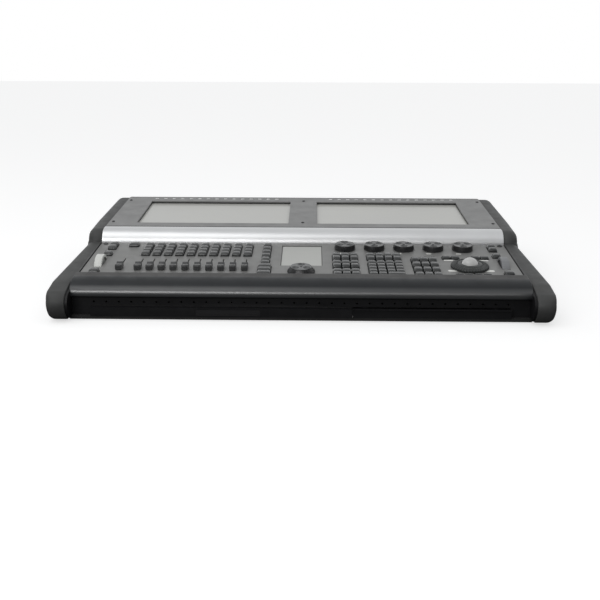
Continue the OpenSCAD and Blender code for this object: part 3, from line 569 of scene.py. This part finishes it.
def build_cheeks():
    """The outer faces draw in from the nose to the drum and, above, open again to the back.  The
    nose stands clear of the armrest, with a black sheet in the recess as painted shade."""
    for side, name in ((-1, "left"), (1, "right")):
        rows = []
        flat, _ = lower_cheek_outline(0.0)
        rows.append(np.column_stack([np.full(len(flat), side * NOSE_IN), inset_outline(
            flat, np.full(len(flat), 0.6))]))
        rows.append(np.column_stack([np.full(len(flat), side * (NOSE_IN + 0.6)), flat]))
        for a in np.linspace(0, math.pi / 2, 10):
            yz, r = lower_cheek_outline(a)
            x = lower_cheek_face(yz[:, 0]) - r * (1 - math.sin(a))
            rows.append(np.column_stack([side * x, yz]))
        mesh_piece(name + "_cheek_moulding", Shape().add(np.stack(rows)), "desk",
                   MATERIALS["cheek"], (name + "_cheek",), 50)
        rear = cut_front(even(flat, 5.0), LINE_Y - 29)
        web = [np.column_stack([np.full(len(rear), side * x), rear])
               for x in (INNER_X, NOSE_IN + 0.5)]
        mesh_piece(name + "_cheek_web", Shape().add(np.stack(web)), "desk", MATERIALS["cheek"])
        # Black sheet in the nose recess beside the armrest: painted shade for the shaded inner side of
        # the cheek.
        front = even(flat, 5.0)
        front = inset_outline(front, np.full(len(front), 4.0))
        front[:, 1] = np.where(front[:, 0] > LINE_Y - 27, np.minimum(front[:, 1], PANEL_Z - 5),
                               front[:, 1])
        front[:, 0] = np.minimum(front[:, 0], LINE_Y - 27)
        shade_sheet = [np.column_stack([np.full(len(front), side * x), front])
                 for x in (INNER_X - 3, NOSE_IN + 0.5)]
        mesh_piece(name + "_cheek_shade_sheet", Shape().add(np.stack(shade_sheet)), "desk",
                   MATERIALS["steel"])
        upper = rounded_slab(upper_cheek_outline(), side, INNER_X + 0.6,
                             lambda y: DRUM_X + (REAR_X - DRUM_X) * np.clip((y + 25) / 120, 0, 1),
                             upper_radius)
        mesh_piece(name + "_screen_cheek_moulding", upper, "screens", MATERIALS["cheek"],
                   (name + "_screen_cheek",), 50)


# ---- armrest -----------------------------------------------------------------------------------


def armrest_outline():
    """Rear face, low ridge, flat lip, elliptical roll to the nose and back underneath."""
    lip_y, lip_z = LINE_Y - 48, PANEL_Z + 5
    return np.concatenate([
        [[LINE_Y - 26.6, PANEL_Z - 18], [LINE_Y - 26.6, PANEL_Z + 4.5]],
        arc(LINE_Y - 29.2, PANEL_Z + 4.6, 2.6, 2.8, 10, 100, 6),
        arc(lip_y, lip_z - 28, 44, 28, 90, 178, 30),
        arc(lip_y - 39, PANEL_Z - 24.6, 5, 4, 180, 270, 8),
        [[LINE_Y - 50, PANEL_Z - 20], [LINE_Y - 40, PANEL_Z - 18]],
    ])


def build_armrest():
    """The outline shrinks a little at both ends, which rounds them."""
    o = even(armrest_outline(), 4.0)
    half = INNER_X - 0.8
    rows = []
    for inset, x in ((2.0, 0), (0.9, 0.4), (0.25, 1.1), (0, 2.2)):
        rows.append((inset, -half + x))
    rows += [(0, x) for x in np.linspace(-half + 30, half - 30, 24)]
    rows += [(i, half - x) for i, x in ((0, 2.2), (0.25, 1.1), (0.9, 0.4), (2.0, 0))]
    grid = np.stack([np.column_stack([np.full(len(o), x), inset_outline(o, np.full(len(o), i))])
                     for i, x in rows])
    mesh_piece("armrest_pad", Shape().add(grid), "desk", MATERIALS["armrest"], ("armrest",),
               50)


# ---- silver trim -------------------------------------------------------------------------------


def build_trim():
    """Quarter-round sheet about the hinge axis that runs on as a flat to the bezel, and the dark
    seam between the two."""
    end = TRIM_L - 3.4
    flat = on_plane([[0, 0.4, 0], [0, end - 0.4, 0], [0, end, -0.4], [0, end, -2], [0, 0.4, -2]],
                    0, STEP_R, BEZEL_TILT)[:, 1:]
    o = np.concatenate([arc(0, 0, STEP_R, STEP_R, 180, 90.5, 44), flat,
                        arc(0, 0, STEP_R - 2, STEP_R - 2, 90, 180, 44)]) + [HINGE_Y, HINGE_Z]
    half = INNER_X - 0.6
    mesh_piece("step_trim_sheet", Shape().add(sweep_x(o, np.linspace(-half, half, 30))), "screens",
               MATERIALS["silver"], ("step_trim",), 20)
    seam = stack([(2 * half, 3.5, 0.1, -1.9, 0), (2 * half, 3.5, 0.1, -0.1, 0)])
    mesh_piece("bezel_seam", Shape().add(on_bezel(seam + [0, TRIM_L - 1.55, 0])), "screens",
               MATERIALS["seam"])


# ---- keys --------------------------------------------------------------------------------------


def key_cap(x, s, w=KEY, l=KEY, h=KEY_H):
    """Rounded key: straight skirt, shoulders that lean in, further in front, and a crowned top."""
    layers = [(w, l, 1.8, -3.8, 0), (w, l, 1.8, h * 0.3, 0), (w - 0.5, l - 0.6, 2.0, h * 0.48, 0.2),
              (w - 1.5, l - 1.5, 2.4, h * 0.78, 0.55), (w - 2.6, l - 3.4, 2.6, h * 0.93, 0.9),
              (w - 4.4, l - 5.4, 2.8, h * 1.01, 1.0), (w * 0.5, l * 0.42, 2.4, h * 1.06, 1.0)]
    return on_panel(stack(layers) + [x, s, 0])


def build_keys():
    """One mesh per key group: the groups follow the CAD nodes that they stand for."""
    def group(name, caps):
        """Joins the caps of a group, each given by its place and size, into one piece."""
        shape = Shape()
        for c in caps:
            shape.add(key_cap(*c))
        mesh_piece(name + "_caps", shape, name, MATERIALS["key"], (name,), 60)

    group("playback_keys", [(x, s) for x in FADER_XS for s in PLAYBACK_SS])
    group("master_keys", [(-382, 177, KEY + 4)] + [(MASTER_X, s) for s in MASTER_SS]
          + [(MASTER_X, s, 28) for s in WIDE_SS])
    number = [(x, s, KEY, 16.4) for x in BLOCK_B_XS for s in NUMBER_SS]
    number += [(x, s) for x in BLOCK_B_XS for s in BLOCK_B_TOP_SS]
    number += [(x, LAST_ROW_S, KEY, 16.4) for x in BLOCK_B_XS[:2]]
    number += [((BLOCK_B_XS[2] + BLOCK_B_XS[3]) / 2, LAST_ROW_S, 19 + KEY, 16.4)]
    group("number_keys", number)
    group("command_keys", [(x, s) for x in BLOCK_A_XS for s in BLOCK_A_SS]
          + [(x, s, KEY, 20) for x in BLOCK_C_XS for s in BLOCK_C_SS])
    side = [(x, 104, KEY, 12, 5) for x in (316, 336, 380, 400)]
    side += [(329 + 19.3 * i, -9, KEY, 9, 5) for i in range(4)]
    for sign in (-1, 1):
        side += [(sign * SIDE_KEY_X, s) for s in SIDE_SS] + [(sign * (WHEEL_X - 1), 0, 20)]
    group("side_keys", side)


# ---- faders ------------------------------------------------------------------------------------


def fader_cap(x):
    """Cap carried along X: ends and saddle in one outline, edges rounded by insets."""
    outline = np.concatenate([
        [[13, 1.5], [13, 8.4], [12.2, 11.2], [10.8, 12.4]],
        arc(0, 15.6, 9.2, 6, -32, -148, 12), [[-10.8, 12.4], [-12.2, 11.2], [-13, 8.2], [-13, 1.5]],
        [[-12, 1], [12, 1]]])
    o = even(outline, 1.2)
    rows = [(0.9, -6.75), (0.3, -6.5), (0, -5.9), (0, 0), (0, 5.9), (0.3, 6.5), (0.9, 6.75)]
    grid = np.stack([np.column_stack([np.full(len(o), xx), inset_outline(o, np.full(len(o), i))])
                     for i, xx in rows])
    return grid + [x, FADER_REST, 0]


def build_faders():
    """Cap, lever through the slot and white line of each fader."""
    for name, x in [("grand_fader", GRAND_X)] + [(f"fader_{i + 1}", v) for i, v in enumerate(FADER_XS)]:
        shape = Shape().add(on_panel(fader_cap(x)))
        lever = stack([(1.4, 5, 0.3, -14, 0), (1.4, 5, 0.3, 1.2, 0)]) + [x, FADER_REST, 0]
        shape.add(on_panel(lever))
        mesh_piece(name + "_cap", shape, name, MATERIALS["cap"], (name,), 40)
        mark = stack([(11.5, 0.9, 0.3, 9.5, 0), (11.5, 0.9, 0.3, 9.75, 0)]) + [x, FADER_REST, 0]
        mesh_piece(name + "_line", Shape().add(on_panel(mark)), name, MATERIALS["white"])


# ---- knobs -------------------------------------------------------------------------------------


def dimpled(grid, dimples, top_z, radius=8.0, depth=4.2):
    """Presses round dimples into a grid near its top: depth (1 - (d/r)^2)^0.8 at distance d."""
    for dx, dy in dimples:
        d2 = ((grid[..., 0] - dx) ** 2 + (grid[..., 1] - dy) ** 2) / radius ** 2
        press = depth * np.clip(1 - d2, 0, None) ** 0.8
        grid[..., 2] -= np.where(grid[..., 2] > top_z - 1.2, press, 0)
    return grid


def disc_profile(r, z, n):
    """Points of a flat top from radius r to the middle, ending at the pole."""
    return [(r * (1 - k / n), z) for k in range(1, n + 1)]


def build_knobs():
    """Encoders and dial: a waisted wall, a dimpled top and a small hub."""
    def knob(name, x, s, r0, r1, h, at, ribs, turn=90):
        """Radius r0 below and r1 above; grooves where cos(ribs a) > 0.3 take 1.8 per cent off it."""
        wall = [(r0 - 0.8, 1), (r0, 1.6), (r0, 1 + h * 0.3), (r1 + 0.9, 1 + h * 0.8), (r1 + 0.2, h + 0.4),
                (r1 - 0.8, 1 + h)]
        lower = revolve(wall, 96)
        a = np.arctan2(lower[..., 1], lower[..., 0])
        groove = 1 - 0.018 * (np.cos(a * ribs) > 0.3) * (lower[..., 2] > 2) * (lower[..., 2] < h)
        lower[..., :2] *= groove[..., None]
        top = revolve([(r1 - 0.8, 1 + h), (r1 - 1.6, 1 + h - 0.25)]
                      + disc_profile(r1 - 1.6, 1 + h - 0.25, 24), 120)
        angles = np.radians([turn, turn + 120, turn + 240])
        top = dimpled(top, [(at * math.cos(v), at * math.sin(v)) for v in angles], h)
        side = Shape().add(on_panel(lower + [x, s, 0]), cap_end=False)
        side.add(on_panel(revolve([(2.9, -13), (2.9, 2)], 24) + [x, s, 0]))
        mesh_piece(name + "_side", side, name, MATERIALS["knob"], (name,), 40)
        mesh_piece(name + "_top", Shape().add(on_panel(top + [x, s, 0]), cap_start=False), name,
                   MATERIALS["knob_top"], (), 60)
        hub = revolve([(2.6, h), (2.6, h + 1.1), (2.0, h + 1.4)] + disc_profile(2.0, h + 1.5, 3), 24)
        mesh_piece(name + "_hub", Shape().add(on_panel(hub + [x, s, 0])), name, MATERIALS["knob"])

    for i, x in enumerate(ENCODER_XS):
        knob(f"encoder_{i + 1}", x, ENCODER_S, 23.5, 21.5, 12, 12.5, 48, 30 if i else 90)
    knob("menu_dial", 0, DIAL_S, 29, 22.5, 13, 13.5, 60)


def build_wheels():
    """Thumb wheels: a crowned tyre with shallow cross ribs, on a hub."""
    y = LINE_Y + WHEEL_S * math.cos(PANEL_TILT) + WHEEL_DROP * math.sin(PANEL_TILT)
    z = PANEL_Z + WHEEL_S * math.sin(PANEL_TILT) - WHEEL_DROP * math.cos(PANEL_TILT)
    half = WHEEL_W / 2
    profile = [(4.0, -half + 4), (8, -half + 4), (8, -half), (10, -half), (10, -half + 3.5),
               (WHEEL_R - 6, -half + 3.5), (WHEEL_R - 6, -half), (WHEEL_R - 1.4, -half),
               (WHEEL_R - 0.4, -half + 0.6), (WHEEL_R, -half + 1.8), (WHEEL_R, 0)]
    profile += [(r, -h) for r, h in profile[::-1]]
    for side, name in ((-1, "left_wheel"), (1, "right_wheel")):
        g = revolve(profile, 180)
        a = np.arctan2(g[..., 1], g[..., 0])
        rim = np.hypot(g[..., 0], g[..., 1]) > WHEEL_R - 1
        g[..., :2] *= (1 - 0.012 * rim * (np.cos(a * 45) > 0.55))[..., None]
        turned = np.stack([g[..., 2] + side * WHEEL_X, g[..., 0] + y, g[..., 1] + z], axis=-1)
        material = MATERIALS["wheel_white" if side < 0 else "wheel_grey"]
        mesh_piece(name + "_tyre", Shape().add(turned), name, material, (name,),
                   40)


def build_trackball():
    """Ball as a sphere of latitude rings, and the jog ring with its finger ribs."""
    lat = np.linspace(-math.pi / 2, math.pi / 2, 40)
    ball = revolve(np.column_stack([BALL_R * np.cos(lat), BALL_R * np.sin(lat) + BALL_RISE]), 64)
    mesh_piece("trackball_sphere", Shape().add(on_panel(ball + [BALL_X, BALL_S, 0]), cap_start=False,
                                               cap_end=False),
               "trackball", MATERIALS["pearl"], ("trackball",), 60)
    profile = [(28.2, -6), (30, -6), (30.2, 1), (39.2, 1), (40.3, 1.6), (40.4, 5.0), (39.6, 6.2),
               (38.4, 7.0), (33, 9.3), (31.5, 9.5), (29.0, 9.4), (28.0, 9.0), (27.6, 8.4),
               (27.6, 1.4), (28.2, 1.2)]
    g = revolve(profile + profile[:1], 240)
    a = np.arctan2(g[..., 1], g[..., 0])
    r = np.hypot(g[..., 0], g[..., 1])
    g[..., :2] *= (1 - 0.03 * (r > 38) * (np.cos(a * 40) > 0.35))[..., None]
    g[..., 2] -= 1.1 * (r > 25) * (r < 38.8) * (g[..., 2] > 6.5) * (np.cos(a * 40) > 0.35)
    mesh_piece("jog_ring_body", Shape().add(on_panel(g + [BALL_X, BALL_S, 0]), cap_start=False,
                                            cap_end=False),
               "jog_ring", MATERIALS["ring"], ("jog_ring",), 40)
    collar = [(26.9, 0.5), (26.9, 8.0), (26.3, 8.9), (25.4, 9.3), (19.6, 10.6), (18.7, 10.5),
              (18.6, 9.4), (19.0, 6.5), (19.8, 3.0), (19.8, 0.5), (26.9, 0.5)]
    mesh_piece("trackball_collar", Shape().add(on_panel(revolve(collar, 96) + [BALL_X, BALL_S, 0]),
                                               cap_start=False, cap_end=False),
               "desk", MATERIALS["ring"], smooth=35)


# ---- plates and small pieces -------------------------------------------------------------------


def build_case():
    """CAD plates with rounded edges and their own finishes."""
    softened("control_panel", MATERIALS["panel"], 0.5)
    softened("screen_bezel", MATERIALS["bezel"], 0.5)
    softened("screen_shell", MATERIALS["cheek"], 0.8)
    for node in ("base_pan", "front_panel", "rear_panel", "rear_deck", "keyboard_drawer"):
        softened(node, MATERIALS["steel"], 0.4)
    plain = {"rubber_feet": "rubber", "menu_display": "socket", "optical_drive": "socket",
             "main_board": "board", "power_supply": "zinc", "key_boards": "board",
             "fader_modules": "zinc", "encoder_modules": "socket", "rear_sockets": "socket",
             "mains_inlet": "socket", "lamp_sockets": "socket", "trackball_cup": "socket",
             "light_bars": "white", "steel_stands": "zinc", "network_sockets": "zinc",
             "drawer_rails": "zinc", "keyboard": "key", "left_screen": "socket",
             "right_screen": "socket", "bezel_screws": "socket"}
    for node, material in plain.items():
        mesh = frame["nodes"][node].data
        mesh.materials.clear()
        mesh.materials.append(MATERIALS[material])


def build_screens():
    """Glass of each screen, a thin slab on the floor of its frame, light grey as a painted reflection."""
    for side, name in ((-1, "left"), (1, "right")):
        slab = stack([(361, 214, 0.5, -7, 0), (361, 214, 0.5, -6.2, 0)])
        mesh_piece(name + "_screen_glass_painted_reflection", Shape().add(on_bezel(slab + [side * 215, 153.5, 0])),
                   "screens", MATERIALS["glass"])
    slab = stack([(87, 134, 0.5, -2.1, 0), (87, 134, 0.5, -1.9, 0)])
    mesh_piece("menu_display_film", Shape().add(on_panel(slab + [0, 118, 0])), "desk",
               MATERIALS["touch"])


def build_details():
    """Vent lips, dark strips along the panel's edges, blanks behind the front joints, and a black strip
    below the front wall as painted shadow under the desk.
    """
    lips = Shape()
    for x in [side * 229 + 22.6 * i for side in (-1, 1) for i in range(-7, 8)]:
        lip = stack([(9.4, 4.4, 2.1, -0.5, 0), (9.4, 4.4, 2.1, 0.5, 0), (8.4, 3.4, 1.6, 1.3, 0),
                     (6.0, 1.4, 0.6, 1.7, 0)])
        lips.add(on_bezel(lip + [x, 284.8, 0]))
    mesh_piece("vent_lips", lips, "screens", MATERIALS["vent"])
    # Dark strips along both edges of the panel, beside the cheeks.
    seams = Shape()
    for side in (-1, 1):
        seams.add(on_panel(stack([(1.5, 223, 0.2, -1, 0), (1.5, 223, 0.2, 0.12, 0)])
                           + [side * 461.9, 86.5, 0]))
    mesh_piece("panel_dark_edges", seams, "desk", MATERIALS["steel"])
    drive_low, drive_high = node_box("optical_drive")
    blanks = Shape()
    for x in (drive_low[0] - 1.4, drive_high[0] + 1.4, 103.2):
        blanks.add(stack([(3.2, 7, 0.1, 4, 0), (3.2, 7, 0.1, 25.5, 0)]) + [x, LINE_Y - 88.5, 0])
    mesh_piece("bay_blanks", blanks, "desk", MATERIALS["steel"])
    # Black strip from near the floor up to the front wall: painted shadow under the desk, where its
    # bottom stands clear of the floor.
    skirt = Shape()
    # the ends are deeper, because the wall is set back there
    for x, y, w, l in ((0, -90.5, 842, 5), (-442, -84.7, 42, 16.6), (442, -84.7, 42, 16.6)):
        skirt.add(stack([(w, l, 0.5, z, 0) for z in SHADOW_STRIP_Z]) + [x, LINE_Y + y, 0])
    mesh_piece("front_shadow_strip", skirt, "desk", MATERIALS["rubber"])


# ---- stage, camera and lights --------------------------------------------------------------------


def build_stage():
    """Floor that the camera sees as white with the desk's soft shadow; other rays see it grey."""
    s = 12.0
    mesh = bpy.data.meshes.new("floor")
    mesh.from_pydata([(-s, -s, 0), (s, -s, 0), (s, s, 0), (-s, s, 0)], [], [(0, 1, 2, 3)])
    floor = bpy.data.objects.new("floor", mesh)
    bpy.context.scene.collection.objects.link(floor)
    material = bpy.data.materials.new("floor")
    material.use_nodes = True
    tree = material.node_tree
    tree.nodes.clear()
    out = tree.nodes.new("ShaderNodeOutputMaterial")
    seen = tree.nodes.new("ShaderNodeBsdfDiffuse")
    seen.inputs["Color"].default_value = (0.5, 0.5, 0.5, 1)
    glow = tree.nodes.new("ShaderNodeEmission")
    glow.inputs["Color"].default_value = (1, 1, 1, 1)
    glow.inputs["Strength"].default_value = 0.62
    both = tree.nodes.new("ShaderNodeAddShader")
    grey = tree.nodes.new("ShaderNodeBsdfDiffuse")
    grey.inputs["Color"].default_value = (0.1, 0.1, 0.1, 1)
    path = tree.nodes.new("ShaderNodeLightPath")
    mix = tree.nodes.new("ShaderNodeMixShader")
    tree.links.new(seen.outputs[0], both.inputs[0])
    tree.links.new(glow.outputs[0], both.inputs[1])
    tree.links.new(path.outputs["Is Camera Ray"], mix.inputs[0])
    tree.links.new(grey.outputs[0], mix.inputs[1])
    tree.links.new(both.outputs[0], mix.inputs[2])
    tree.links.new(mix.outputs[0], out.inputs[0])
    mesh.materials.append(material)


DOME_LOW, DOME_LIFT, DOME_WALL = 0.1, 0.56, 0.2


def build_world():
    """Studio dome: with up as z and back as y its radiance is low + lift * smooth((z + 0.45 y) / 0.5) +
    wall * max(y, 0) (1 - z)^2, dark low down in front; the camera sees white."""
    world = bpy.data.worlds.new("studio")
    bpy.context.scene.world = world
    world.use_nodes = True
    tree = world.node_tree
    tree.nodes.clear()

    def math_node(kind, *values):
        """One step of arithmetic on numbers or sockets."""
        n = tree.nodes.new("ShaderNodeMath")
        n.operation = kind
        for socket, value in zip(n.inputs, values):
            if hasattr(value, "links"):
                tree.links.new(value, socket)
            else:
                socket.default_value = value
        return n.outputs[0]

    way = tree.nodes.new("ShaderNodeTexCoord")
    parts = tree.nodes.new("ShaderNodeSeparateXYZ")
    tree.links.new(way.outputs["Generated"], parts.inputs[0])
    high = tree.nodes.new("ShaderNodeMapRange")
    high.interpolation_type = "SMOOTHSTEP"
    high.inputs["From Max"].default_value = 0.5
    tree.links.new(math_node("MULTIPLY_ADD", parts.outputs["Y"], 0.45, parts.outputs["Z"]),
                   high.inputs["Value"])
    wall = math_node("POWER", math_node("SUBTRACT", 1.0, math_node("ABSOLUTE", parts.outputs["Z"])),
                     2.0)
    wall = math_node("MULTIPLY", wall, math_node("MAXIMUM", parts.outputs["Y"], 0.0))
    radiance = math_node("MULTIPLY_ADD", high.outputs[0], DOME_LIFT, DOME_LOW)
    radiance = math_node("MULTIPLY_ADD", wall, DOME_WALL, radiance)
    out = tree.nodes.new("ShaderNodeOutputWorld")
    dome = tree.nodes.new("ShaderNodeBackground")
    dome.inputs[0].default_value = (0.98, 0.99, 1.0, 1)
    tree.links.new(radiance, dome.inputs[1])
    white = tree.nodes.new("ShaderNodeBackground")
    white.inputs[0].default_value = (1, 1, 1, 1)
    path = tree.nodes.new("ShaderNodeLightPath")
    mix = tree.nodes.new("ShaderNodeMixShader")
    tree.links.new(path.outputs["Is Camera Ray"], mix.inputs[0])
    tree.links.new(dome.outputs[0], mix.inputs[1])
    tree.links.new(white.outputs[0], mix.inputs[2])
    tree.links.new(mix.outputs[0], out.inputs[0])


def area_light(name, place, aim, size, radiance):
    """A rectangle that shines evenly; its power is pi times its area and radiance."""
    data = bpy.data.lights.new(name, "AREA")
    data.shape = "RECTANGLE"
    data.size, data.size_y = size
    data.energy = math.pi * size[0] * size[1] * radiance
    obj = bpy.data.objects.new(name, data)
    obj.location = place
    obj.rotation_euler = (Vector(aim) - Vector(place)).to_track_quat("-Z", "Y").to_euler()
    bpy.context.scene.collection.objects.link(obj)


def build_lights():
    """A wide soft box high in front and a bright strip lower at the left, above the camera."""
    area_light("front_high", (-0.95, -0.9, 2.25), (-0.1, 0, 0), (2.2, 1.6), 1.0)
    area_light("strip_left", (-0.95, -2.5, 1.05), (-0.15, -0.3, 0.08), (1.9, 0.5), 5.2)
    area_light("strip_right", (0.5, -2.5, 1.05), (0.1, -0.3, 0.08), (1.0, 0.5), 1.5)


FOCAL_PX = 860.0
FRAME_PX = 600.0
CAMERA_AT = (0.021, -1.962, 0.527)
PITCH, YAW, ROLL = (math.radians(v) for v in (16.37, -0.76, 0.22))


def build_camera():
    """A camera turned by yaw about Z, pitched down, then rolled about its own axis."""
    forward = Vector((math.sin(YAW) * math.cos(PITCH), math.cos(YAW) * math.cos(PITCH),
                      -math.sin(PITCH)))
    right = Vector((math.cos(YAW), -math.sin(YAW), 0))
    up = right.cross(forward)
    rolled_right = math.cos(ROLL) * right + math.sin(ROLL) * up
    rolled_up = -math.sin(ROLL) * right + math.cos(ROLL) * up
    data = bpy.data.cameras.new("camera")
    data.sensor_width = 36
    data.sensor_fit = "HORIZONTAL"
    data.lens = FOCAL_PX / FRAME_PX * 36
    obj = bpy.data.objects.new("camera", data)
    turn = Matrix((rolled_right, rolled_up, -forward)).transposed().to_4x4()
    obj.matrix_world = Matrix.Translation(CAMERA_AT) @ turn
    bpy.context.scene.collection.objects.link(obj)
    bpy.context.scene.camera = obj


bpy.context.scene.view_settings.view_transform = "Standard"
build_camera()
build_stage()
build_world()
build_lights()
build_case()
build_cheeks()
build_armrest()
build_trim()
build_keys()
build_faders()
build_knobs()
build_wheels()
build_trackball()
build_screens()
build_details()
